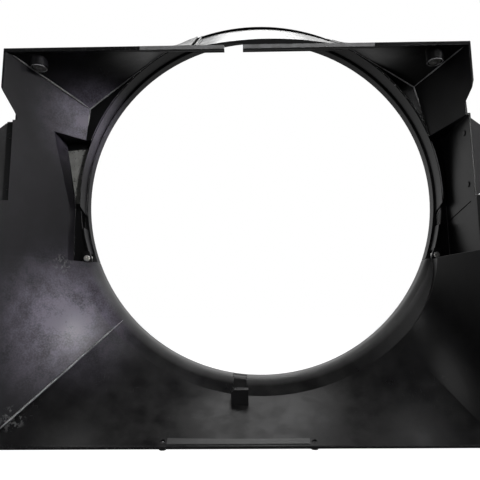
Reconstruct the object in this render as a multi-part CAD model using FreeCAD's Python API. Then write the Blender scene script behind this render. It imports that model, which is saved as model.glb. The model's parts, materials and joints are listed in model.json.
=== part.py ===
import FreeCAD, Part
import math, os

# Radiator fan shroud, millimetres. X is right, Y runs back to the engine, Z is up.
# The origin is on the fan axis, halfway along the rear land of the round opening.

os.makedirs("parts", exist_ok=True)
V = FreeCAD.Vector

# Main sizes
wall = 3.0
frame_w = 700.0
frame_h = 576.0
axis_right = 37.0          # the fan axis is right of the frame's middle
axis_up = 84.0             # and above it
opening_r = frame_w * 148 / 350
land_len = 16.0
depth = 154.0              # radiator face to rear edge
mouth_len = 50.0           # the hopper's back wall to the rear edge
collar_step = 4.0          # the hopper's round edge stands outside the opening
mouth_flare = 26.0         # the bell mouth's extra radius at the back wall

# Where the creases end, as angles round the fan axis from +X towards +Z
crease_ul, spread_ul = 152.2, 22.6
crease_ur, spread_ur = 34.8, 20.6
crease_ll = 222.7
crease_lr = 312.0

# Side pockets and the arch that closes the top of the opening
shelf_z = -108.0
pocket_top = 96.0
pocket_back = 16.0         # the pockets go this far behind the back wall
pocket_front = 64.0        # the left pocket starts this far before it
pocket_side_top = -opening_r - 34
pocket_side_low = -opening_r - 15
window_low, window_drop = -10.0, 10.0
arch_wall = 3.0
arch_recess = 3.0          # the arch's front bore is this much larger than its land
arch_gap = 0.4
hump_l, hump_r = -100.0, 124.0
hump_seam = 5.0
hood_rise = 13.0           # the hood's front edge is this much higher at its middle
rail_h, rail_d = 6.0, 6.0
notch_w, notch_x = 28.0, -40.0

# Positions that follow from the sizes above
left_x = -frame_w / 2 - axis_right
right_x = frame_w / 2 - axis_right
top_z = frame_h / 2 - axis_up
low_z = -frame_h / 2 - axis_up
rear_y = land_len / 2
face_y = rear_y - depth
back_y = rear_y - mouth_len
collar_r = opening_r + collar_step
mouth_r = opening_r + mouth_flare
arch_front = back_y + wall
hood_front = face_y + rail_d + 2.4
hood_back = arch_front + 8
mid_x = (left_x + right_x) / 2

# Hardware
cup_x = frame_w / 2 - 46    # each top cup stands this far from the frame's middle
cup_r, cup_drop, cup_y = 12.5, 17.0, 21.0
bolt_hole_r = 4.5
eyelet_r, eyelet_flange_r, eyelet_t = 6.5, 9.0, 1.0
screw_r, screw_head_r, screw_head_h = 2.5, 5.0, 3.2
screw_len = 17.0
screw_x = opening_r - 9    # from the fan axis, just outside the opening
screw_z = shelf_z + 5.0
foot_w, foot_t = 17.0, 3.5
nut_w, nut_h, nut_t = 11.0, 8.8, 4.0
nut_room = 3.8             # the arch's shoe ends this far above the nut
post_r = 3.2
arch_end = 186.0           # the arch's barrel ends here; thin legs run on to the shelf
leg_end = 203.0
apron_x = opening_r + 22   # a thin apron behind each foot closes the seat to this width
flap_t, flap_reach = 2.6, 40.0
flap_top, flap_low = 96.0, -28.0
ledge_y, ledge_t, ledge_w = 21.0, 3.0, 18.0
leg_w = 20.0               # the right flap's leg along the pocket's wall
rivet_r, rivet_head_r, rivet_head_h = 2.4, 4.2, 1.2
pad_t = 14.0               # the foam block behind the left pocket's window
strip_len, strip_w = 192.0, 9.0
strip_y = 8.0
foot_pad_r, foot_pad_h = 5.0, 3.0
clip_x, clip_w = -36.0, 26.0
clip_len, clip_top = 22.0, 13.0
clip_gap = 0.4
trim_t, trim_l, trim_r = 1.4, -181.0, 171.0


def at(angle, r, y):
    a = math.radians(angle)
    return V(r * math.cos(a), y, r * math.sin(a))


def line(a, b):
    return Part.makeLine(a, b)


def arcTo(a, middle, b):
    return Part.Arc(a, middle, b).toShape()


def block(x0, x1, y0, y1, z0, z1):
    return Part.makeBox(x1 - x0, y1 - y0, z1 - z0, V(x0, y0, z0))


def rod(r, start, end):
    d = end.sub(start)
    return Part.makeCylinder(r, d.Length, start, d)


def plate(points, push):
    ring = [V(*p) for p in points]
    return Part.Face(Part.makePolygon(ring + [ring[0]])).extrude(V(*push))


def fuse(shapes):
    return shapes[0].multiFuse(shapes[1:]).removeSplitter()


def outline(points, y, thick):
    """A front-view polygon of x, z points, pushed back by thick."""
    return plate([(x, y, z) for x, z in points], (0, thick, 0))


# ---- the hopper: a straight-edged front that turns into a round back ----

def rearPoints(grow, y):
    c, m = collar_r + grow, mouth_r + grow
    low_l = 180 - math.degrees(math.asin(shelf_z / mouth_r))
    low_r = 360 + math.degrees(math.asin(shelf_z / (collar_r + 3)))
    return [at(crease_ur + spread_ur, c, y),
            at(crease_ul - spread_ul, c, y),
            at(crease_ul, c / math.cos(math.radians(spread_ul)), y),
            at(crease_ul + spread_ul, c, y),
            at(low_l, m, y),
            at(crease_ll, m, y),
            at(crease_lr, m, y),
            at(low_r, c + 3, y),
            at(crease_ur - spread_ur, c, y),
            at(crease_ur, c / math.cos(math.radians(spread_ur)), y)]


def rearEdges(grow, y):
    p = rearPoints(grow, y)
    c, m = collar_r + grow, mouth_r + grow
    low_l = 180 - math.degrees(math.asin(shelf_z / mouth_r))
    return [arcTo(p[0], at(90, c, y), p[1]), line(p[1], p[2]), line(p[2], p[3]),
            line(p[3], p[4]),
            arcTo(p[4], at((low_l + crease_ll) / 2, m, y), p[5]),
            arcTo(p[5], at((crease_ll + crease_lr) / 2, m, y), p[6]),
            arcTo(p[6], at(327, (m + c) / 2 + 6, y), p[7]),
            line(p[7], p[8]), line(p[8], p[9]), line(p[9], p[0])]


def frontEdges(grow, y):
    l, r = left_x - grow, right_x + grow
    t, b = top_z + grow, low_z - grow
    p = rearPoints(0, y)
    f = [V(p[0].x, y, t), V(p[1].x, y, t), V(l, y, t), V(l, y, p[3].z), V(l, y, p[4].z),
         V(l, y, b), V(r, y, b), V(r, y, p[7].z), V(r, y, p[8].z), V(r, y, t)]
    return [line(f[i], f[(i + 1) % 10]) for i in range(10)]


def hopperSolid(front_grow, rear_grow, y0, y1):
    front, rear = frontEdges(front_grow, y0), rearEdges(rear_grow, y1)
    faces = [Part.makeRuledSurface(a, b) for a, b in zip(front, rear)]
    faces += [Part.Face(Part.Wire(front)), Part.Face(Part.Wire(rear))]
    shell = Part.makeShell(faces)
    shell.sewShape()
    solid = Part.Solid(shell)
    if solid.Volume < 0:
        solid.reverse()
    return solid


def mouthSolid(grow, y_end):
    """The bell mouth's inside, swept round the fan axis and kept below the shelf."""
    land = -land_len / 2
    bend = ((land - back_y) - mouth_flare) / (math.sqrt(2) - 1)
    rim = opening_r + grow
    a, b = V(0, back_y - 1, 0), V(mouth_r + grow, back_y - 1, 0)
    wide, start = V(mouth_r + grow, back_y, 0), V(rim + bend * (1 - math.sqrt(0.5)),
                                                 land - bend * math.sqrt(0.5), 0)
    middle = V(rim + bend * (1 - math.cos(math.radians(22.5))),
               land - bend * math.sin(math.radians(22.5)), 0)
    edges = [line(a, b), line(b, wide), line(wide, start),
             arcTo(start, middle, V(rim, land, 0)), line(V(rim, land, 0), V(rim, y_end, 0)),
             line(V(rim, y_end, 0), V(0, y_end, 0)), line(V(0, y_end, 0), a)]
    turned = Part.Face(Part.Wire(edges)).revolve(V(0, 0, 0), V(0, 1, 0), 360)
    reach = Part.Face(Part.Wire(rearEdges(grow, back_y - 1))).extrude(V(0, depth, 0))
    below = block(-frame_w, frame_w, back_y - 1, depth, -frame_h, shelf_z)
    return turned.common(reach).common(below)


# ---- side pockets ----

def leftPocket(grow):
    top, low = pocket_top + grow, shelf_z - grow
    side_top, side_low = pocket_side_top - grow, pocket_side_low - grow
    inner = -opening_r * 0.68
    pts = [(side_top, top), (inner, top), (inner, low), (side_low, low),
           (side_low, 2 * window_low)]
    return outline(pts, back_y - pocket_front, pocket_front + pocket_back + grow)


def rightPocket(grow):
    return block(opening_r * 0.68, right_x - wall + grow, face_y + 10 - grow, back_y + pocket_back + grow,
                 shelf_z - grow, pocket_top + grow)


# ---- ribs and bosses outside the hopper ----

def gusset(angle, reach):
    """A radial rib between the mouth's outside and the sloping panel."""
    a, b = opening_r + 1, opening_r + reach
    pts = [(a, rear_y - 5), (a, back_y - 20), (b, back_y - 50), (b, back_y + 4)]
    face = plate([(r, y, -1.2) for r, y in pts], (0, 0, 2.4))
    face.rotate(V(0, 0, 0), V(0, 1, 0), -angle)
    return face


def ribs():
    found = [gusset(a, reach) for a, reach in
             ((212, 52), (232, 60), (250, 44), (268, 40), (286, 44), (304, 58))]
    return found


def cupBody(side):
    x = mid_x + side * cup_x
    y = face_y + cup_y
    return rod(cup_r, V(x, y, top_z), V(x, y, top_z - cup_drop - wall))


def cupBore(side):
    x = mid_x + side * cup_x
    y = face_y + cup_y
    well = rod(cup_r - wall, V(x, y, top_z + 1), V(x, y, top_z - cup_drop))
    hole = rod(eyelet_r, V(x, y, top_z), V(x, y, top_z - cup_drop - 2 * wall))
    return well.fuse(hole)


def ledge():
    """A narrow upright land behind the frame's left edge that carries the left flap."""
    return block(left_x + 2, left_x + 2 + ledge_w, face_y + ledge_y,
                 face_y + ledge_y + ledge_t, flap_low, flap_top)


def edgeInset(side):
    """The frame's edge steps in beside the flap, with a sloped lead at the top."""
    edge = left_x if side < 0 else right_x
    s = side
    deep = 14.0 if side < 0 else 8.0
    pts = [(edge + s * 5, 142), (edge, 142), (edge - s * deep, 112), (edge - s * (deep + 6), 98),
           (edge - s * deep, 96), (edge - s * deep, -28), (edge, -31), (edge + s * 5, -31)]
    return outline(pts, face_y - 1, 19)


def seamGroove():
    """A fine slanting step moulded in the right pocket's outer wall."""
    x = right_x - wall
    return plate([(x - 1, face_y + 33, -32.4), (x - 1, back_y + 12, -47.4),
                  (x - 1, back_y + 12, -49), (x - 1, face_y + 33, -34)], (2.2, 0, 0))


def screwSpot(side):
    return V(side * screw_x, back_y + pocket_back, screw_z)


def shroudBody():
    outer = [hopperSolid(0, wall, face_y, back_y + wall), mouthSolid(wall, rear_y),
             leftPocket(wall), rightPocket(wall)]
    lip = ringProfile([(opening_r + 1, rear_y - 3), (opening_r + wall + 5, rear_y - 3),
                       (opening_r + wall + 5, rear_y), (opening_r + 1, rear_y)],
                      leg_end - 1, 360 - (leg_end - 181))
    outer += ribs() + [ledge(), lip]
    outer_solid = fuse(outer)
    above = block(-frame_w, frame_w, -depth, depth, shelf_z, frame_h)
    open_top = rod(collar_r, V(0, back_y - 1, 0), V(0, depth, 0)).common(above)
    arch_seat = rod(opening_r + arch_recess + arch_wall + arch_gap,
                    V(0, arch_front, 0), V(0, depth, 0))
    arch_seat = arch_seat.common(fuse([
        block(-frame_w, frame_w, -depth, depth, shelf_z + 12, frame_h),
        block(-frame_w, frame_w, -land_len / 2 - 2, depth, shelf_z, frame_h)]))
    inner = [hopperSolid(-wall, 0, face_y, back_y), mouthSolid(0, depth),
             leftPocket(0), rightPocket(0), open_top, arch_seat, seamGroove()]
    body = outer_solid
    for piece in inner:
        body = body.cut(piece)

    # inside: the top rail and the two cups
    rail = block(left_x + 2, right_x - 2, face_y, face_y + rail_d, top_z - rail_h, top_z)
    body = fuse([body, rail, cupBody(-1), cupBody(1)])
    cuts = [cupBore(-1), cupBore(1), edgeInset(-1), edgeInset(1)]

    # the arch takes the middle of the top
    for y0, z0 in ((face_y + rail_d, top_z - 40), (face_y - 1, top_z)):
        cuts.append(block(hump_l - hump_seam, hump_r + hump_seam, y0, depth, z0, top_z + 300))
    cuts.append(block(notch_x - notch_w / 2, notch_x + notch_w / 2, face_y - 1,
                      face_y + 40, top_z - 40, top_z + 40))

    cuts.append(windowCut())

    # screw holes through the pockets' back walls
    for side in (-1, 1):
        p = screwSpot(side)
        cuts.append(rod(screw_r + 0.4, V(p.x, p.y - 1, p.z), V(p.x, p.y + 12, p.z)))

    # the clip's window in the bell mouth
    cuts.append(clipWindow(0))

    # seats for the trims, the strip and the feet
    for x0, x1 in trimSpans():
        cuts.append(block(x0, x1, face_y - 1, face_y + trim_t, top_z - rail_h - 2, top_z + 1))
        cuts.append(block(x0, x1, face_y - 1, face_y + rail_d + 1, top_z - trim_t, top_z + 1))
    cuts.append(stripLayer(0.8, 1))
    for x in padSpots():
        cuts.append(rod(foot_pad_r - 2, V(x, face_y + 9, low_z - 1), V(x, face_y + 9, low_z + 20)))
    cuts += rivetHoles(-1) + rivetHoles(1)
    for piece in cuts:
        body = body.cut(piece)
    return keepLargest(body)


def windowCut():
    """The left pocket's window, through its back wall and beside the arch."""
    inner = -opening_r + 6
    return outline([(pocket_side_top + 1, pocket_top - window_drop - 2),
                    (inner, pocket_top - window_drop + 2),
                    (inner, window_low), (pocket_side_low, window_low)],
                   back_y + 2, pocket_back + 10)


def windowPad():
    """The foam block glued behind the window, clear of the arch."""
    x0, x1 = pocket_side_top - 1, -opening_r + 6
    top, low = pocket_top - window_drop + 6, window_low + 2
    y0 = back_y + pocket_back + wall
    pad = outline([(x0, top), (x1, top), (x1, low), (x0 + 16, low)], y0, pad_t)
    arch = rod(opening_r + arch_recess + arch_wall + 0.6, V(0, -depth, 0), V(0, depth, 0))
    return keepLargest(pad.cut(arch))


def keepLargest(shape):
    solids = sorted(shape.Solids, key=lambda s: -s.Volume)
    return solids[0]


# ---- the arch ----

def ringProfile(points, angle0, angle1):
    ring = [V(r, y, 0) for r, y in points]
    face = Part.Face(Part.makePolygon(ring + [ring[0]]))
    face.rotate(V(0, 0, 0), V(0, 1, 0), -angle0)
    return face.revolve(V(0, 0, 0), V(0, -1, 0), angle1 - angle0)


def hoodBand(y, thick, ends, middle, x0, x1):
    """A cross-section of the hood: a shallow arc of the given thickness."""
    m = (x0 + x1) / 2
    top = [V(x0, y, ends[0]), V(m, y, middle), V(x1, y, ends[1])]
    low = [V(p.x, y, p.z - thick) for p in top]
    return Part.Wire([arcTo(*top), line(top[2], low[2]), arcTo(*reversed(low)),
                      line(low[0], top[0])])


def hoodSkin(x0, x1, grow, thick):
    r = opening_r + arch_recess + arch_wall + grow
    m = (x0 + x1) / 2
    share0 = (x0 - hump_l) / (hump_r - hump_l)
    share1 = (x1 - hump_l) / (hump_r - hump_l)
    rise = [4 * hood_rise * s * (1 - s) for s in (share0, (share0 + share1) / 2, share1)]
    ends = (top_z + 1 + rise[0] + grow, top_z + 1 + rise[2] + grow)
    front = hoodBand(hood_front, thick, ends, top_z + 1 + rise[1] + grow, x0, x1)
    back = hoodBand(hood_back, thick, [math.sqrt(r * r - x * x) for x in (x0, x1)],
                    math.sqrt(r * r - m * m), x0, x1)
    return Part.makeLoft([front, back], True, True)


def archHood():
    """The hood over the rail: a curved skin, an upright front and a lip at each side."""
    skin = hoodSkin(hump_l, hump_r, 0, wall)
    front = block(hump_l, hump_r, hood_front, hood_front + wall, top_z - rail_h, top_z + 30)
    under = hoodSkin(hump_l, hump_r, -1, 60)
    notch = block(notch_x - notch_w / 2, notch_x + notch_w / 2, hood_front - 1,
                  hood_front + wall + 1, top_z - 20, top_z + 8)
    lips = [hoodSkin(x0, x0 + wall, 4, 10) for x0 in (hump_l, hump_r - wall)]
    return [skin, front.common(under).cut(notch)] + lips


def ringArch():
    r0, r1 = opening_r, opening_r + arch_recess
    r2 = r1 + arch_wall
    y0, land = arch_front, -land_len / 2
    barrel = ringProfile([(r1, y0), (r1 + 1, y0), (r2, hood_back), (r2, rear_y - 3),
                          (r2 + 5, rear_y - 3),
                          (r2 + 5, rear_y), (r0, rear_y), (r0, land), (r0 + 1, land - 1.5),
                          (r1, land - 1.5)], 180 - arch_end, arch_end)
    for side in (-1, 1):
        # the barrel's ends are cut on a slant
        z0 = r1 * math.sin(math.radians(arch_end)) + 14
        barrel = barrel.cut(plate([(0, y0 - 1, z0), (0, land, z0 - 11), (0, land, z0 - 40),
                                   (0, y0 - 1, z0 - 40)], (side * frame_w, 0, 0)))
    parts = [barrel] + archHood()
    # legs: the rear land runs on down, and a post, a heel and a foot stand beside it
    for side in (-1, 1):
        a0, a1 = (arch_end - 1, leg_end) if side < 0 else (180 - leg_end, 181 - arch_end)
        parts.append(ringProfile([(r0, land), (r2, land), (r2, rear_y), (r0, rear_y)], a0, a1))
        p = screwSpot(side)
        nut_top = math.degrees(math.asin((-p.z - nut_h / 2 - nut_room) / r2))
        a0, a1 = (190, 180 + nut_top) if side < 0 else (-nut_top, -10)
        front = p.y - foot_t
        parts.append(ringProfile([(r1, front), (r2, front), (r2, rear_y), (r1, rear_y)], a0, a1))
        post_x, post_y = side * (r2 - 1.5), 2
        foot = block(p.x - foot_w / 2, p.x + foot_w / 2, front, p.y,
                     shelf_z + 1.2, shelf_z + 17)
        low = shelf_z + 4
        post = rod(post_r, V(post_x, post_y, low), V(post_x, post_y, 0))
        x0, x1 = sorted((side * (r0 - 18), post_x))
        rung = block(x0, x1, post_y - 2, post_y + 2, low, low + 6)
        x0, x1 = sorted((side * r0, side * (r2 + 4)))
        heel = block(x0, x1, land, rear_y, -16, 6)
        x0, x1 = sorted((side * (r0 - 30), side * apron_x))
        apron = block(x0, x1, rear_y - 3, rear_y, shelf_z + 2, 4)
        parts += [foot, post, rung, heel, apron]
    arch = fuse(parts).cut(rod(r0, V(0, back_y - 1, 0), V(0, depth, 0)))
    arch = arch.cut(rod(r0 + 2, V(0, back_y - 1, 0), V(0, land - 1.5, 0)))
    arch = arch.cut(block(-frame_w, frame_w, -depth, depth, shelf_z - 60, shelf_z + 0.5))
    for side in (-1, 1):
        p = screwSpot(side)
        arch = arch.cut(rod(screw_r + 0.3, V(p.x, p.y - 20, p.z), V(p.x, p.y + 20, p.z)))
    return keepLargest(arch)


def archScrews():
    found = []
    for side in (-1, 1):
        p = screwSpot(side)
        y = p.y - foot_t
        head = rod(screw_head_r, V(p.x, y - screw_head_h, p.z), V(p.x, y, p.z))
        head = head.makeFillet(1.2, [e for e in head.Edges
                                     if e.BoundBox.YMax < y - screw_head_h + 0.1])
        shank = rod(screw_r, V(p.x, y, p.z), V(p.x, y + screw_len - 2, p.z))
        slot = [block(p.x - 3, p.x + 3, y - screw_head_h - 1, y - screw_head_h + 1.4,
                      p.z - 0.6, p.z + 0.6),
                block(p.x - 0.6, p.x + 0.6, y - screw_head_h - 1, y - screw_head_h + 1.4,
                      p.z - 3, p.z + 3)]
        found.append(head.fuse(shank).cut(slot[0]).cut(slot[1]).removeSplitter())
    return Part.makeCompound(found)


def springNuts():
    found = []
    for side in (-1, 1):
        p = screwSpot(side)
        y = p.y + wall
        nut = block(p.x - nut_w / 2, p.x + nut_w / 2, y, y + nut_t,
                    p.z - nut_h / 2, p.z + nut_h / 2)
        nut = nut.makeFillet(1.0, [e for e in nut.Edges if abs(e.Length - nut_t) < 0.01])
        nut = nut.cut(rod(screw_r + 0.02, V(p.x, y - 1, p.z), V(p.x, y + 20, p.z)))
        found.append(nut)
    return Part.makeCompound(found)


# ---- side flaps ----

def rivetSpots(side):
    """Each rivet's start, direction and grip. The right flap hangs on the pocket's wall."""
    heights = (flap_top - 22, flap_low + 22)
    if side < 0:
        x, y = left_x + 2 + ledge_w * 0.34, face_y + ledge_y
        return [(V(x, y, z), V(0, 1, 0), ledge_t + flap_t) for z in heights]
    y = face_y + ledge_y + ledge_t + leg_w * 0.62
    return [(V(right_x - wall, y, z), V(1, 0, 0), wall + flap_t) for z in heights]


def rivetHoles(side):
    return [rod(rivet_r, start.sub(way * 8), start.add(way * (grip + 8)))
            for start, way, grip in rivetSpots(side)]


def sideFlap(side):
    edge = left_x if side < 0 else right_x
    s = side
    out = edge + s * (flap_reach - 8)
    root = left_x + ledge_w if side < 0 else right_x
    y = face_y + ledge_y + ledge_t
    pts = [(root, flap_top - 1), (edge + s * 1, flap_top - 1), (edge + s * 12, flap_top - 10),
           (out, flap_top - 26), (out, flap_low + 22), (edge + s * 12, flap_low + 8),
           (edge + s * 1, flap_low + 1), (root, flap_low + 1)]
    pieces = [outline(pts, y, flap_t)]
    bead_x = edge + s * 22
    pieces.append(block(bead_x - 1.2, bead_x + 1.2, y, y + flap_t + 1.2,
                        flap_low + 16, flap_top - 18))
    if side > 0:
        pieces.append(block(right_x, right_x + flap_t, y, y + leg_w, flap_low + 1, flap_top - 1))
    flap = fuse(pieces).cut(hopperSolid(0.3, wall + 0.3, face_y, back_y + wall))
    for hole in rivetHoles(side):
        flap = flap.cut(hole)
    return keepLargest(flap)


def flapRivets():
    found = []
    for side in (-1, 1):
        for start, way, grip in rivetSpots(side):
            end = start.add(way * grip)
            found.append(fuse([rod(rivet_r, start, end),
                               rod(rivet_head_r, start.sub(way * rivet_head_h), start),
                               rod(rivet_head_r - 1, end, end.add(way * rivet_head_h))]))
    return Part.makeCompound(found)


# ---- small pieces ----

def mountEyelets():
    found = []
    for side in (-1, 1):
        x, y = mid_x + side * cup_x, face_y + cup_y
        low, high = top_z - cup_drop - wall, top_z - cup_drop
        tube = rod(eyelet_r, V(x, y, low), V(x, y, high))
        for z0, z1 in ((low - eyelet_t, low), (high, high + eyelet_t)):
            tube = tube.fuse(rod(eyelet_flange_r, V(x, y, z0), V(x, y, z1)))
        tube = tube.cut(rod(bolt_hole_r, V(x, y, low - 5), V(x, y, high + 5)))
        found.append(tube.removeSplitter())
    return Part.makeCompound(found)


def trimSpans():
    return [(trim_l, notch_x - notch_w / 2), (notch_x + notch_w / 2, trim_r)]


def railTrim(index):
    x0, x1 = trimSpans()[index]
    whole = block(x0, x1, face_y, face_y + rail_d + trim_t, top_z - rail_h, top_z)
    core = block(x0 - 1, x1 + 1, face_y + trim_t, face_y + rail_d, top_z - rail_h - 1,
                 top_z - trim_t)
    return whole.cut(core)


def padSpots():
    return [mid_x - strip_len / 2 - 6, mid_x + strip_len / 2 + 6]


def lowerPads():
    found = []
    for x in padSpots():
        y = face_y + 9
        pad = rod(foot_pad_r, V(x, y, low_z - foot_pad_h), V(x, y, low_z))
        pad = pad.makeFillet(1.0, [e for e in pad.Edges if e.BoundBox.ZMax < low_z - 2.9])
        stem = rod(foot_pad_r - 2, V(x, y, low_z), V(x, y, low_z + wall + 3.5))
        found.append(pad.fuse(stem).removeSplitter())
    return Part.makeCompound(found)


def stripLayer(deep, proud):
    """The lower strip's space: a thin layer on the hopper's bottom panel."""
    skin = hopperSolid(deep - wall, deep, face_y, back_y)
    skin = skin.cut(hopperSolid(-wall - proud, -proud, face_y, back_y))
    return skin.common(block(mid_x - strip_len / 2, mid_x + strip_len / 2,
                             face_y + strip_y - strip_w / 2, face_y + strip_y + strip_w / 2,
                             low_z - 1, low_z + 60))


def lowerStrip():
    return keepLargest(stripLayer(0.8, 1.2))


def clipWindow(gap):
    half = clip_w / 2 - 2 - gap
    return block(clip_x - half, clip_x + half, back_y + 8 + gap, rear_y - 8 - gap,
                 -opening_r - 60, -opening_r + 40)


def clipBase():
    y1 = back_y - 1
    base = block(clip_x - clip_w / 2, clip_x + clip_w / 2, y1 - clip_len, y1,
                 low_z, -mouth_r + clip_top)
    base = base.common(hopperSolid(-wall, 0, face_y, back_y))
    top = -mouth_r + clip_top
    bevel = plate([(clip_x - clip_w / 2 - 1, y1, top - 5), (clip_x - clip_w / 2 - 1, y1, top + 1),
                   (clip_x - clip_w / 2 + 6, y1, top + 1)], (0, -clip_len, 0))
    slot = block(clip_x - 5.5, clip_x + 5.5, y1 - clip_len + 4, y1 + 1, top - 4, top + 1)
    return keepLargest(base.cut(bevel).cut(slot))


def clipLatch():
    """A thin curved plate that fills the window, with a tongue lying in the base's slot."""
    skin = mouthSolid(wall - 0.8, depth).cut(mouthSolid(1.2, depth))
    skin = skin.common(clipWindow(clip_gap))
    top = -mouth_r + clip_top
    tongue = block(clip_x - 5.5 + clip_gap, clip_x + 5.5 - clip_gap,
                   back_y - clip_len + 5, back_y + 12, top - 4 + clip_gap, top - 1.2)
    post = block(clip_x - 5.5 + clip_gap, clip_x + 5.5 - clip_gap, back_y + 9, back_y + 13,
                 -mouth_r - 6, top - 1.2)
    post = post.common(mouthSolid(wall - 0.8, depth))
    return keepLargest(fuse([skin, tongue, post]))


names = {
    "shroud_body": shroudBody,
    "ring_arch": ringArch,
    "arch_screws": archScrews,
    "spring_nuts": springNuts,
    "flap_left": lambda: sideFlap(-1),
    "flap_right": lambda: sideFlap(1),
    "flap_rivets": flapRivets,
    "mount_eyelets": mountEyelets,
    "window_pad": windowPad,
    "rail_trim_left": lambda: railTrim(0),
    "rail_trim_right": lambda: railTrim(1),
    "lower_pads": lowerPads,
    "lower_strip": lowerStrip,
    "clip_base": clipBase,
    "clip_latch": clipLatch,
}

for name, make in names.items():
    shape = make()
    print(name, "solids", len(shape.Solids), "valid", shape.isValid(),
          "cm3 %.1f" % (shape.Volume / 1000), "box", shape.BoundBox)
    shape.exportStep("parts/%s.step" % name)
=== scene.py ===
import json
import math

import bmesh
import bpy
from mathutils import Matrix, Vector


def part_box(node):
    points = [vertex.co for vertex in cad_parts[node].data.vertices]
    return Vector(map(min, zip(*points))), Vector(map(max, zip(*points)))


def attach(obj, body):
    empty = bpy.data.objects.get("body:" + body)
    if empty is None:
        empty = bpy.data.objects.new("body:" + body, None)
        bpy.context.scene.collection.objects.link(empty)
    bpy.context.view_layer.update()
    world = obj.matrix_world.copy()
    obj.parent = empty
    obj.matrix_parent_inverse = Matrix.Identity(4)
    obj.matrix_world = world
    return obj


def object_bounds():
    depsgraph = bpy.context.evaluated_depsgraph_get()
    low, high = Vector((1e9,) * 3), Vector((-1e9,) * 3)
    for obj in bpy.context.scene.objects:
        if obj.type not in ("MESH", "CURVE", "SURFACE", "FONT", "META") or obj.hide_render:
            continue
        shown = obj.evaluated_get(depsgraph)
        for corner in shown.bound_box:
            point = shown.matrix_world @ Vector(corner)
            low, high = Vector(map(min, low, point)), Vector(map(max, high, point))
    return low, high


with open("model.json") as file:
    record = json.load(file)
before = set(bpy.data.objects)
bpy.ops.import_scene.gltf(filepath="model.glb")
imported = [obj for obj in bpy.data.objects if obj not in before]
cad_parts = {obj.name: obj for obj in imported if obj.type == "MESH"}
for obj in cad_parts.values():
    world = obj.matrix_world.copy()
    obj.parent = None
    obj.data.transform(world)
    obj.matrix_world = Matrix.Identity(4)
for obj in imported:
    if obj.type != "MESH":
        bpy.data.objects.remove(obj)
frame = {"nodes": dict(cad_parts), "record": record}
nodes = frame["nodes"]
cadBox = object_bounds()
print("frame loaded:", len(nodes), "pieces")

# places read from the frame, in metres
bodyLow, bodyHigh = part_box("shroud_body")
frontY = bodyLow.y
floorZ = cadBox[0].z
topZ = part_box("rail_trim_left")[1].z
landR = frame["record"]["mounts"][0]["dims"]["r_mm"] / 1000


# a node socket that takes part in ordinary sums
class Sock:
    def __init__(self, mat, socket):
        self.mat, self.socket = mat, socket

    def maths(self, operation, a, b, clamp=False):
        return self.mat.node("ShaderNodeMath", {"operation": operation, "use_clamp": clamp},
                             [a, b])

    def __add__(self, other):
        return self.maths("ADD", self, other)

    __radd__ = __add__

    def __sub__(self, other):
        return self.maths("SUBTRACT", self, other)

    def __rsub__(self, other):
        return self.maths("SUBTRACT", other, self)

    def __mul__(self, other):
        return self.maths("MULTIPLY", self, other)

    __rmul__ = __mul__

    def __truediv__(self, other):
        return self.maths("DIVIDE", self, other)

    def __pow__(self, other):
        return self.maths("POWER", self, other)

    def clamp(self):
        return self.maths("ADD", self, 0.0, True)

    # 0 at the edge, rising to 1 over the soft width
    def above(self, edge, soft):
        return ((self - edge) / soft).clamp()

    def below(self, edge, soft):
        return ((edge - self) / soft).clamp()


# a material and the calls that build its nodes
class Finish:
    def __init__(self, name, world=None):
        self.material = world or bpy.data.materials.new(name)
        self.material.use_nodes = True
        self.tree = self.material.node_tree
        self.tree.nodes.clear()
        self.kind = "World" if world else "Material"

    def put(self, target, value):
        if isinstance(value, Sock):
            self.tree.links.new(value.socket, target)
        elif value is not None:
            if hasattr(target.default_value, "__len__") and not hasattr(value, "__len__"):
                value = [value] * len(target.default_value)
            target.default_value = value

    def node(self, kind, settings=None, values=(), out=0):
        made = self.tree.nodes.new(kind)
        for key, value in (settings or {}).items():
            setattr(made, key, value)
        pairs = values.items() if isinstance(values, dict) else enumerate(values)
        for key, value in pairs:
            self.put(made.inputs[key], value)
        return Sock(self, made.outputs[out]) if made.outputs else None

    # more than one output of the node that a socket belongs to
    def outputs(self, first, names):
        return [Sock(self, first.socket.node.outputs[name]) for name in names]

    def place(self):
        return self.node("ShaderNodeNewGeometry", out="Position")

    def facing(self):
        return self.node("ShaderNodeNewGeometry", out="Normal")

    def split(self, vector):
        return self.outputs(self.node("ShaderNodeSeparateXYZ", {}, [vector]), "XYZ")

    def rays(self, *kinds):
        return self.outputs(self.node("ShaderNodeLightPath"), kinds)

    def noise(self, where, scale, detail, rough, distortion=0.0):
        return self.node("ShaderNodeTexNoise", {}, {"Vector": where, "Scale": scale,
                         "Detail": detail, "Roughness": rough, "Distortion": distortion})

    def stretch(self, where, x, y, z):
        return self.node("ShaderNodeVectorMath", {"operation": "MULTIPLY"}, [where, (x, y, z)])

    # 1 near a spot, falling to 0 at the given size; soft is the share of it that fades
    def near(self, where, spot, size, soft):
        away = self.node("ShaderNodeVectorMath", {"operation": "DISTANCE"}, [where, spot], 1)
        return away.below(size, size * soft)

    # a colour between a and b; the Mix node's colour sockets are 6 and 7, and 2 comes out
    def mix(self, factor, a, b):
        return self.node("ShaderNodeMix", {"data_type": "RGBA"}, {0: factor, 6: a, 7: b}, 2)

    def bump(self, height, strength, distance, normal=None):
        return self.node("ShaderNodeBump", {}, {"Height": height, "Strength": strength,
                         "Distance": distance, "Normal": normal})

    def show(self, shader):
        self.node("ShaderNodeOutput" + self.kind, {}, [shader])
        return self.material

    def surface(self, **values):
        return self.show(self.node("ShaderNodeBsdfPrincipled", {}, values))


def rgb(grey, tint=(1.0, 1.0, 1.0)):
    return (grey * tint[0], grey * tint[1], grey * tint[2], 1.0)


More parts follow.
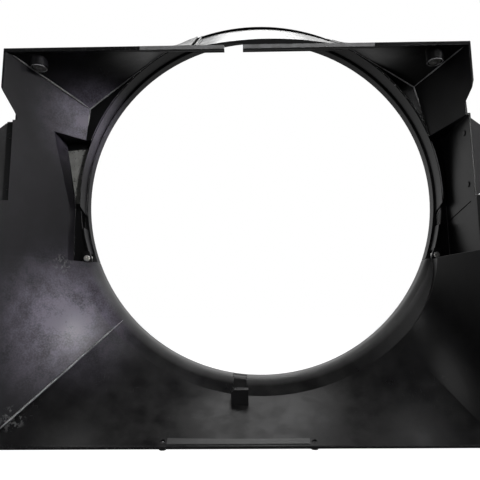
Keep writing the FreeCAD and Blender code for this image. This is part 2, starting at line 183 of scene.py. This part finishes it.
moulding = dict(
    black=rgb(0.0025, (1.0, 1.0, 1.06)),
    faded=rgb(0.007, (0.98, 0.97, 1.12)),
    dust=rgb(0.030, (1.0, 0.98, 0.95)),
    scuff=rgb(0.12, (1.0, 1.0, 1.02)),
    # the colour of the painted sheen on the left wall
    bloomAndSheen=rgb(0.11, (1.0, 0.90, 1.18)),
    # the colour of the painted highlight on the lower curl of the bell mouth
    curlSheen=rgb(0.09),
    # spots in metres: x, y, z and size
    # the two patches of painted sheen on the left wall
    paintedSheen=((-0.285, -0.040, 0.130, 0.115), (-0.30, -0.07, -0.205, 0.145)),
    crumbs=((-0.315, -0.060, -0.113, 0.019), (-0.350, -0.124, -0.337, 0.020)),
    # noise scales, from broad fading to the moulded grain
    broadScale=6.0,
    patchScale=17.0,
    cloudScale=38.0,
    flakeScale=170.0,
    fineScale=420.0,
    grainScale=1500.0,
    # how the noise is stretched into scratches
    scratchesUp=(1400, 60, 90),
    scratchesAlong=(70, 120, 1500),
    # the rubbed front rim, and the painted highlight on the curl of the bell mouth
    rimDepth=0.0035,
    rimSoft=0.003,
    curlWidth=0.013,
    curlSoft=0.012,
    curlFromY=-0.045,
    curlBelowZ=-0.09,
    bumpDepth=0.0003,
    edgeRadius=0.0013,
    roughness=0.24,
    gloss=0.15,
)


def mouldedPlastic(name, fade=1.0, scuffed=1.0, curlSheenAmount=1.0):
    m = Finish(name)
    where = m.place()
    x, y, z = m.split(where)
    nx, _, nz = m.split(m.facing())
    broad = m.noise(where, moulding["broadScale"], 3.0, 0.55)
    cloudy = m.noise(where, moulding["cloudScale"], 4.0, 0.6)
    grain = m.noise(where, moulding["grainScale"], 2.0, 0.6)
    fine = m.noise(where, moulding["fineScale"], 3.0, 0.6)
    # scratches: noise stretched two ways
    up = m.noise(m.stretch(where, *moulding["scratchesUp"]), 1.0, 2.0, 0.5)
    along = m.noise(m.stretch(where, *moulding["scratchesAlong"]), 1.0, 2.0, 0.5)
    patch = m.noise(where, moulding["patchScale"], 3.0, 0.55, 0.4)
    worn = patch.above(0.60, 0.10) * (up.above(0.66, 0.06) + along.above(0.68, 0.06)).clamp()
    rim = y.below(frontY + moulding["rimDepth"], moulding["rimSoft"])
    nicks = (fine.above(0.52, 0.2) * rim * x.below(0.1, 0.3) * 0.22 * scuffed).clamp()
    fadeMask = (broad.above(0.40, 0.35) * 0.7 + cloudy.above(0.45, 0.4) * 0.3) * fade
    settled = nz.above(0.25, 0.6) * cloudy.above(0.36, 0.4) * (1 - z.above(0.19, 0.02) * 0.6)
    colour = m.mix(fadeMask.clamp(), moulding["black"], moulding["faded"])
    colour = m.mix((settled * 0.35).clamp(), colour, moulding["dust"])
    # painted sheen: a grey-violet highlight painted as colour on the left wall, strongest in two
    # broad patches
    paintedSheen = sum(m.near(where, spot, size, 0.9) ** 1.8 for *spot, size in moulding["paintedSheen"])
    leftWall = nx.above(0.1, 0.4) * x.below(-0.15, 0.1)
    dull = (1 - paintedSheen).clamp() * leftWall   # away from the painted sheen patches the wall is duller
    mottled = cloudy.above(0.35, 0.3) * 0.7 + fine.above(0.40, 0.25) * 0.5
    paintedSheen = (paintedSheen * (0.35 + mottled * 1.3) + 0.02 + cloudy * 0.05) * leftWall
    colour = m.mix(paintedSheen.clamp(), colour, moulding["bloomAndSheen"])
    # painted highlight: lighter grey where the lower bell mouth curls into the opening
    around = (x * x + z * z) ** 0.5
    curl = around.below(landR + moulding["curlWidth"], moulding["curlSoft"])
    curl = curl * y.above(moulding["curlFromY"], 0.01) * z.below(moulding["curlBelowZ"], 0.05)
    colour = m.mix((curl * (0.5 + cloudy * 0.6) * curlSheenAmount).clamp(), colour,
                   moulding["curlSheen"])
    # crumbs of dirt, in two small places
    crumbs = sum(m.near(where, spot, size, 0.5) for *spot, size in moulding["crumbs"])
    flake = m.noise(where, moulding["flakeScale"], 5.0, 0.65)
    crumbs = crumbs.clamp() * flake.above(0.53, 0.05)
    colour = m.mix((crumbs * 0.55).clamp(), colour, moulding["scuff"])
    colour = m.mix((worn * 0.3 * scuffed + nicks).clamp(), colour, moulding["scuff"])
    rough = moulding["roughness"] + cloudy * 0.12 + settled * 0.15 + worn * 0.1 + dull * 0.2
    height = grain * 0.6 + fine * 0.25 + cloudy * 0.5
    rounded = m.node("ShaderNodeBevel", {"samples": 4}, {"Radius": moulding["edgeRadius"]})
    normal = m.bump(height, 0.35, moulding["bumpDepth"], rounded)
    return m.surface(**{"Base Color": colour, "Roughness": rough.clamp(), "Normal": normal,
                        "Specular IOR Level": moulding["gloss"]})


# painted highlight lines: a mottled light grey standing in for light caught along edges and
# creases
edgeHighlightPaint = dict(dull=rgb(0.06), bright=rgb(0.26, (1.0, 1.0, 1.03)), roughness=0.30,
                patchScale=34.0, fineScale=420.0, bumpDepth=0.0003)


def highlightLinePaint(name):
    m = Finish(name)
    where = m.place()
    patchy = m.noise(where, edgeHighlightPaint["patchScale"], 3.0, 0.6)
    fine = m.noise(where, edgeHighlightPaint["fineScale"], 3.0, 0.6)
    glintMottle = (patchy.above(0.38, 0.2) * 0.7 + fine.above(0.42, 0.2) * 0.5).clamp()
    colour = m.mix(glintMottle, edgeHighlightPaint["dull"], edgeHighlightPaint["bright"])
    rough = edgeHighlightPaint["roughness"] + fine * 0.2
    normal = m.bump(fine, 0.3, edgeHighlightPaint["bumpDepth"])
    return m.surface(**{"Base Color": colour, "Roughness": rough, "Normal": normal})


flapSkin = dict(black=rgb(0.006, (1.0, 0.97, 1.05)), bloomAndSheen=rgb(0.03, (1.0, 0.95, 1.05)),
                roughness=0.62, cloudScale=60.0, fineScale=900.0, bumpDepth=0.0004,
                smears=(90, 60, 1300))


def rubber(name):
    m = Finish(name)
    where = m.place()
    cloudy = m.noise(where, flapSkin["cloudScale"], 4.0, 0.6)
    streak = m.noise(m.stretch(where, *flapSkin["smears"]), 1.0, 2.0, 0.5)
    fine = m.noise(where, flapSkin["fineScale"], 2.0, 0.6)
    bloomAndSheen = (cloudy.above(0.42, 0.3) * 0.6 + streak.above(0.62, 0.08) * 0.5).clamp()
    colour = m.mix(bloomAndSheen, flapSkin["black"], flapSkin["bloomAndSheen"])
    rough = flapSkin["roughness"] + cloudy * 0.2
    normal = m.bump(fine * 0.6 + cloudy, 0.35, flapSkin["bumpDepth"])
    return m.surface(**{"Base Color": colour, "Roughness": rough, "Normal": normal})


zinc = dict(dull=rgb(0.52, (1.0, 0.99, 0.94)), bright=rgb(0.72), roughness=0.28,
            cloudScale=320.0, brushed=(300, 300, 4000), bumpDepth=0.0001)


def zincPlate(name):
    m = Finish(name)
    where = m.place()
    cloudy = m.noise(where, zinc["cloudScale"], 4.0, 0.6)
    brushed = m.noise(m.stretch(where, *zinc["brushed"]), 1.0, 2.0, 0.5)
    colour = m.mix(cloudy.above(0.4, 0.3), zinc["dull"], zinc["bright"])
    rough = zinc["roughness"] + cloudy * 0.2
    normal = m.bump(brushed, 0.2, zinc["bumpDepth"])
    return m.surface(**{"Base Color": colour, "Metallic": 1.0, "Roughness": rough,
                        "Normal": normal})


# each trim is dark to light, and its wear is lighter again
trim = dict(rail=(0.09, 0.14), strip=(0.015, 0.033), tint=(1.0, 1.0, 1.05), wear=1.4,
            roughness=0.4, cloudScale=55.0, fineScale=800.0, scratches=(60, 700, 900),
            bumpDepth=0.0003)


def greyTrim(name, dark, light):
    m = Finish(name)
    where = m.place()
    cloudy = m.noise(where, trim["cloudScale"], 4.0, 0.6)
    fine = m.noise(where, trim["fineScale"], 2.0, 0.6)
    streak = m.noise(m.stretch(where, *trim["scratches"]), 1.0, 2.0, 0.5)
    wear = (streak.above(0.58, 0.1) * cloudy.above(0.4, 0.2)).clamp()
    colour = m.mix(cloudy.above(0.4, 0.3), rgb(dark), rgb(light, trim["tint"]))
    colour = m.mix(wear * 0.4, colour, rgb(light * trim["wear"]))
    rough = trim["roughness"] + cloudy * 0.2
    normal = m.bump(fine * 0.5 + streak * 0.4, 0.3, trim["bumpDepth"])
    return m.surface(**{"Base Color": colour, "Roughness": rough, "Normal": normal})


foam = dict(dark=rgb(0.15, (1.0, 1.0, 0.95)), light=rgb(0.26, (1.0, 1.0, 0.95)),
            pits=rgb(0.03), roughness=0.9, cellScale=700.0, pitScale=240.0, cloudScale=60.0,
            bumpDepth=0.0006)


def greyFoam(name):
    m = Finish(name)
    where = m.place()
    cells = m.noise(where, foam["cellScale"], 3.0, 0.7)
    cloudy = m.noise(where, foam["cloudScale"], 4.0, 0.6)
    pits = m.noise(where, foam["pitScale"], 2.0, 0.5)
    colour = m.mix(cloudy.above(0.35, 0.35), foam["dark"], foam["light"])
    colour = m.mix(pits.above(0.62, 0.05) * 0.8, colour, foam["pits"])
    normal = m.bump(cells + pits * 1.5, 0.6, foam["bumpDepth"])
    return m.surface(**{"Base Color": colour, "Roughness": foam["roughness"], "Normal": normal})


finishes = {
    "moulding": mouldedPlastic("mouldedPlastic"),
    "grey_foam": greyFoam("greyFoam"),
    # painted highlight lines for the lips, creases, arch edge and cup rims
    "worn": highlightLinePaint("highlightLinePaint"),
    "arch": mouldedPlastic("archPlastic", 0.7, 0.8),
    "latch": mouldedPlastic("latchPlastic", 0.0, 1.0, 0.0),
    "seal_rubber": rubber("flapRubber"),
    "zinc_steel": zincPlate("zincPlate"),
    "trim_plastic": greyTrim("greyTrim", *trim["rail"]),
    "strip": greyTrim("stripTrim", *trim["strip"]),
}
# a node takes its slot's finish, apart from three with their own
slots = {s["node"]: s["material_slot"] for s in frame["record"]["subparts"]}
ownFinish = {"ring_arch": "arch", "clip_latch": "latch", "lower_strip": "strip"}
for name, node in nodes.items():
    finish = finishes[ownFinish.get(name, slots[name])]
    for slot in node.material_slots:
        slot.material = finish
    if not node.material_slots:
        node.data.materials.append(finish)
print("finishes made")


def onCircle(angle, r, y):
    a = math.radians(angle)
    return Vector((r * math.cos(a), y, r * math.sin(a)))


def addPiece(name, bm, finish):
    mesh = bpy.data.meshes.new(name)
    bm.to_mesh(mesh)
    bm.free()
    mesh.shade_smooth()
    piece = bpy.data.objects.new(name, mesh)
    bpy.context.scene.collection.objects.link(piece)
    mesh.materials.append(finish)
    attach(piece, "root")


# a round bead along a line of points, thinner at its two tips
bead = dict(sides=10, tip=0.25)


def sweepTube(name, points, radius, finish):
    sides = bead["sides"]
    bm = bmesh.new()
    rings = []
    for i, point in enumerate(points):
        ahead = (points[min(i + 1, len(points) - 1)] - points[max(i - 1, 0)]).normalized()
        side = ahead.cross(Vector((0, 1, 0))).normalized()
        rise = side.cross(ahead)
        end = min(i, len(points) - 1 - i)
        r = radius * min(1.0, bead["tip"] * (1 + end))
        rings.append([bm.verts.new(point + side * r * math.cos(t) + rise * r * math.sin(t))
                      for t in (2 * math.pi * k / sides for k in range(sides))])
    for one, two in zip(rings, rings[1:]):
        for k in range(sides):
            bm.faces.new((one[k], one[(k + 1) % sides], two[(k + 1) % sides], two[k]))
    bm.faces.new(list(reversed(rings[0])))
    bm.faces.new(rings[-1])
    bmesh.ops.recalc_face_normals(bm, faces=bm.faces)
    addPiece(name, bm, finish)


# a rounded lip where each upper panel meets the collar, coloured as a painted highlight line
lips = dict(
    radius=0.0013,
    y=frontY + 0.104,
    collarR=landR + 0.004,
    leastSteps=6,
    stepsPerDegree=1.5,
    nearSteps=8,
    farSteps=6,
    # name, angle of the corner, how far it spreads, where the lip starts, share of the far side
    runs=(("collarLipLeft", 152.2, 22.6, 118.0, 0.24),
          ("collarLipRight", 34.8, -20.6, 62.0, 0.36)),
)
for name, corner, spread, start, share in lips["runs"]:
    r, y = lips["collarR"], lips["y"]
    tangent = corner - spread
    steps = max(lips["leastSteps"], int(abs(tangent - start) * lips["stepsPerDegree"]))
    points = [onCircle(start + (tangent - start) * i / steps, r, y) for i in range(steps + 1)]
    peak = onCircle(corner, r / math.cos(math.radians(spread)), y)
    far = onCircle(corner + spread, r, y)
    first, near, away = points[-1], lips["nearSteps"], lips["farSteps"]
    points += [first.lerp(peak, i / near) for i in range(1, near + 1)]
    points += [peak.lerp(far, share * i / away) for i in range(1, away + 1)]
    sweepTube(name, points, lips["radius"], finishes["worn"])
print("lips made")

# a small cove fills three creases, with a painted highlight line on each
coves = dict(
    radius=0.0020,
    lineRadius=0.0012,
    inset=0.0032,
    steps=24,
    startShare=0.07,    # of the crease, before the cove begins
    runShare=0.92,
    lean=-0.8,          # how far forward the line stands on the cove
    # name, front corner, angle and spread of the round end
    runs=(("creaseCoveLeft", (bodyLow.x, topZ), 152.2, 22.6),
          ("creaseCoveRight", (bodyHigh.x, topZ), 34.8, 20.6),
          ("creaseCoveLow", (bodyLow.x, bodyLow.z), 222.7, 0.0)),
)
for name, (cornerX, cornerZ), angle, spread in coves["runs"]:
    sideX = 1 if cornerX < 0 else -1
    sideZ = 1 if cornerZ < 0 else -1
    start = Vector((cornerX + sideX * coves["inset"], frontY, cornerZ + sideZ * coves["inset"]))
    end = onCircle(angle, lips["collarR"] / math.cos(math.radians(spread)), lips["y"])
    points = [start.lerp(end, coves["startShare"] + coves["runShare"] * i / coves["steps"])
              for i in range(coves["steps"] + 1)]
    sweepTube(name, points, coves["radius"], finishes["moulding"])
    lift = Vector((sideX, coves["lean"], sideZ)).normalized() * coves["radius"]
    sweepTube(name + "Line", [p + lift for p in points], coves["lineRadius"], finishes["worn"])
print("coves made")

# a web closes the crescent between the hood's back and the arch's barrel
hoodWeb = dict(
    left=-0.100,
    right=0.124,
    sideGap=0.001,
    frontY=frontY + 0.0084,     # the hood's own skin runs from here to backY
    backY=-0.031,
    frontZ=topZ + 0.001,
    rise=0.013,
    r=landR + 0.006,
    startY=-0.047,              # the web fills this part of it
    endY=-0.032,
    under=0.0003,
    thick=0.0022,
    columns=40,
    rows=6,
)


def hoodPoint(x, y, drop):
    share = (x - hoodWeb["left"]) / (hoodWeb["right"] - hoodWeb["left"])
    front = hoodWeb["frontZ"] + 4 * hoodWeb["rise"] * share * (1 - share)
    back = math.sqrt(hoodWeb["r"] ** 2 - x * x)
    along = (y - hoodWeb["frontY"]) / (hoodWeb["backY"] - hoodWeb["frontY"])
    return Vector((x, y, front + (back - front) * along - drop))


def addHoodWeb():
    bm = bmesh.new()
    columns, rows = hoodWeb["columns"], hoodWeb["rows"]
    left = hoodWeb["left"] + hoodWeb["sideGap"]
    width = hoodWeb["right"] - hoodWeb["left"] - 2 * hoodWeb["sideGap"]
    depth = hoodWeb["endY"] - hoodWeb["startY"]
    skins = []
    for drop in (hoodWeb["under"], hoodWeb["under"] + hoodWeb["thick"]):
        skins.append([[bm.verts.new(hoodPoint(left + width * i / columns,
                                              hoodWeb["startY"] + depth * j / rows, drop))
                       for j in range(rows + 1)] for i in range(columns + 1)])
    for skin in skins:
        for i in range(columns):
            for j in range(rows):
                bm.faces.new((skin[i][j], skin[i + 1][j], skin[i + 1][j + 1], skin[i][j + 1]))
    top, low = skins
    for i in range(columns):
        for j in (0, rows):
            bm.faces.new((top[i][j], top[i + 1][j], low[i + 1][j], low[i][j]))
    for j in range(rows):
        for i in (0, columns):
            bm.faces.new((top[i][j], top[i][j + 1], low[i][j + 1], low[i][j]))
    bmesh.ops.recalc_face_normals(bm, faces=bm.faces)
    addPiece("hoodWeb", bm, finishes["arch"])


addHoodWeb()
print("hood web made")

# the arch's front edge carries a painted highlight line beside the right pocket
archEdge = dict(radius=0.0008, r=landR + 0.0044, y=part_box("ring_arch")[1].y - 0.0472,
                top=17.0, low=-2.0, steps=20)    # top and low in degrees
span = archEdge["top"] - archEdge["low"]
points = [onCircle(archEdge["top"] - span * i / archEdge["steps"], archEdge["r"], archEdge["y"])
          for i in range(archEdge["steps"] + 1)]
sweepTube("archEdgeLine", points, archEdge["radius"], finishes["worn"])
print("arch edge made")

# each top cup has a painted highlight ring round its lower end
cupRim = dict(radius=0.0007, r=0.0112, low=0.0006, steps=32)
cupRow = next(mount for mount in frame["record"]["mounts"] if mount["name"] == "top_mounts")
cupX, cupY, cupZ = cupRow["pos_m"]
halfSpan = cupRow["dims"]["spacing_x_mm"] / 2000    # half of it, in metres
for name, side in (("cupRimLeft", -1), ("cupRimRight", 1)):
    middle = Vector((cupX + side * halfSpan, cupY, cupZ - cupRim["low"]))
    turns = [2 * math.pi * i / cupRim["steps"] for i in range(cupRim["steps"] + 1)]
    points = [middle + Vector((math.cos(t), math.sin(t), 0)) * cupRim["r"] for t in turns]
    sweepTube(name, points, cupRim["radius"], finishes["worn"])
print("cup rims made")

# a fillet closes the seam at each side of the clip's plate
clipSeam = dict(radius=0.0009, near=0.0004, steps=10)
latchLow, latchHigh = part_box("clip_latch")
corners = [v.co.copy() for v in nodes["clip_latch"].data.vertices]
for name, edgeX in (("clipSeamLeft", latchLow.x), ("clipSeamRight", latchHigh.x)):
    edge = [c for c in corners if abs(c.x - edgeX) < clipSeam["near"]]
    y0, y1 = min(c.y for c in edge), max(c.y for c in edge)
    points = []
    for i in range(clipSeam["steps"] + 1):
        y = y0 + (y1 - y0) * i / clipSeam["steps"]
        close = sorted(edge, key=lambda c: abs(c.y - y))[:2]    # the two corners beside it
        points.append(Vector((edgeX, y, sum(c.z for c in close) / 2)))
    sweepTube(name, points, clipSeam["radius"], finishes["moulding"])
print("clip seams made")


studio = dict(
    fill=0.08,              # the world's own light on the object
    backdrop=0.75,          # what gloss shows of the pale wall behind
    backdropEdge=0.25,
    floorSide=12.0,
    floorPaint=rgb(0.28),
    floorWhite=0.985,       # as the camera sees it
    floorMirror=0.02,       # as gloss shows it near by, and floorGlow more further back
    floorGlow=0.45,
    floorFarY=0.5,
    floorFade=1.2,
    # name, place, width, height, power in watts, aimed at, beam in degrees
    lamps=(("rightSoftbox", (1.07, -0.60, 0.41), 0.14, 0.16, 0.65, (-0.30, -0.055, 0.13), 60),
           ("lowSoftbox", (0.66, -1.20, 0.34), 0.22, 0.22, 2.0, (-0.29, -0.07, -0.225), 60),
           ("overhead", (0.02, 0.50, 1.05), 0.40, 0.25, 0.6, (0.0, -0.105, -0.345), 90),
           ("topSoftbox", (0.05, -0.22, 1.9), 0.6, 0.6, 1.7, (0.0, -0.05, -0.3), 180),
           ("leftHighSoftbox", (-0.70, -0.38, 0.92), 0.3, 0.3, 0.65, (0.24, -0.03, -0.19), 90),
           ("rightHighSoftbox", (0.54, -0.28, 1.05), 0.3, 0.3, 0.70, (-0.18, -0.03, -0.24), 90),
           ("leftSoftbox", (-1.6, -1.1, 0.2), 0.8, 0.8, 6.5, (0.1, -0.05, 0.0), 180),
           ("frontSoftbox", (0.1, -1.9, 1.1), 0.8, 0.5, 0.55, (0.0, -0.14, 0.2), 120),
           ("backLamp", (0.2, 1.6, 1.4), 1.2, 1.2, 7.0, (0.0, 0.0, 0.1), 180)),
)


def addFloor():
    side = studio["floorSide"]
    mesh = bpy.data.meshes.new("floor")
    mesh.from_pydata([(-side, -side, floorZ), (side, -side, floorZ), (side, side, floorZ),
                      (-side, side, floorZ)], [], [(0, 1, 2, 3)])
    floor = bpy.data.objects.new("floor", mesh)
    bpy.context.scene.collection.objects.link(floor)
    m = Finish("floorPaint")
    camera, glossy = m.rays("Is Camera Ray", "Is Glossy Ray")
    far = m.split(m.place())[1].above(studio["floorFarY"], studio["floorFade"])
    mirrored = glossy * (studio["floorMirror"] + far * studio["floorGlow"])
    diffuse = m.node("ShaderNodeBsdfDiffuse", {}, {"Color": studio["floorPaint"]})
    glow = m.node("ShaderNodeEmission", {}, {"Color": rgb(1.0),
                  "Strength": camera * studio["floorWhite"] + mirrored})
    mesh.materials.append(m.show(m.node("ShaderNodeAddShader", {}, [diffuse, glow])))


def addWorld():
    world = bpy.data.worlds.new("studio")
    bpy.context.scene.world = world
    sky = Finish("sky", world)
    camera, glossy, through = sky.rays("Is Camera Ray", "Is Glossy Ray", "Is Transmission Ray")
    _, toBack, toTop = sky.split(sky.node("ShaderNodeTexCoord", out="Generated"))
    backdrop = toBack.above(studio["backdropEdge"], 0.6) * studio["backdrop"] * (0.8 + toTop * 0.6)
    strength = (camera + through).clamp()
    strength = strength + (1 - strength) * (studio["fill"] + glossy * backdrop)
    sky.show(sky.node("ShaderNodeBackground", {}, {"Color": rgb(1.0), "Strength": strength}))


def addLamp(name, place, width, height, power, aim, beam):
    light = bpy.data.lights.new(name, "AREA")
    light.shape = "RECTANGLE"
    light.size, light.size_y, light.energy = width, height, power
    light.spread = math.radians(beam)
    lamp = bpy.data.objects.new(name, light)
    lamp.location = place
    lamp.rotation_mode = "QUATERNION"
    lamp.rotation_quaternion = (Vector(aim) - Vector(place)).to_track_quat("-Z", "Y")
    bpy.context.scene.collection.objects.link(lamp)


lens = dict(
    place=(-0.023, -0.816, -0.1925),
    focal=36.075,
    pitch=8.50,
    yaw=-0.82,
    roll=-0.47,
    sensor=36.0,    # millimetres, as focal is
    nearest=0.01,
    furthest=60.0,
)


def addCamera():
    pitch, yaw, roll = (math.radians(lens[k]) for k in ("pitch", "yaw", "roll"))
    ahead = Vector((math.sin(yaw) * math.cos(pitch), math.cos(yaw) * math.cos(pitch),
                    math.sin(pitch)))
    level = Vector((math.cos(yaw), -math.sin(yaw), 0))
    rise = level.cross(ahead)
    right = level * math.cos(roll) + rise * math.sin(roll)
    up = rise * math.cos(roll) - level * math.sin(roll)
    data = bpy.data.cameras.new("camera")
    data.lens, data.sensor_width = lens["focal"], lens["sensor"]
    data.clip_start, data.clip_end = lens["nearest"], lens["furthest"]
    camera = bpy.data.objects.new("camera", data)
    bpy.context.scene.collection.objects.link(camera)
    turn = ((right.x, up.x, -ahead.x, lens["place"][0]),
            (right.y, up.y, -ahead.y, lens["place"][1]),
            (right.z, up.z, -ahead.z, lens["place"][2]),
            (0, 0, 0, 1))
    camera.matrix_world = Matrix(turn)
    bpy.context.scene.camera = camera


addFloor()
addWorld()
for lamp in studio["lamps"]:
    addLamp(*lamp)
addCamera()
bpy.context.scene.view_settings.view_transform = "Standard"
print("studio ready")
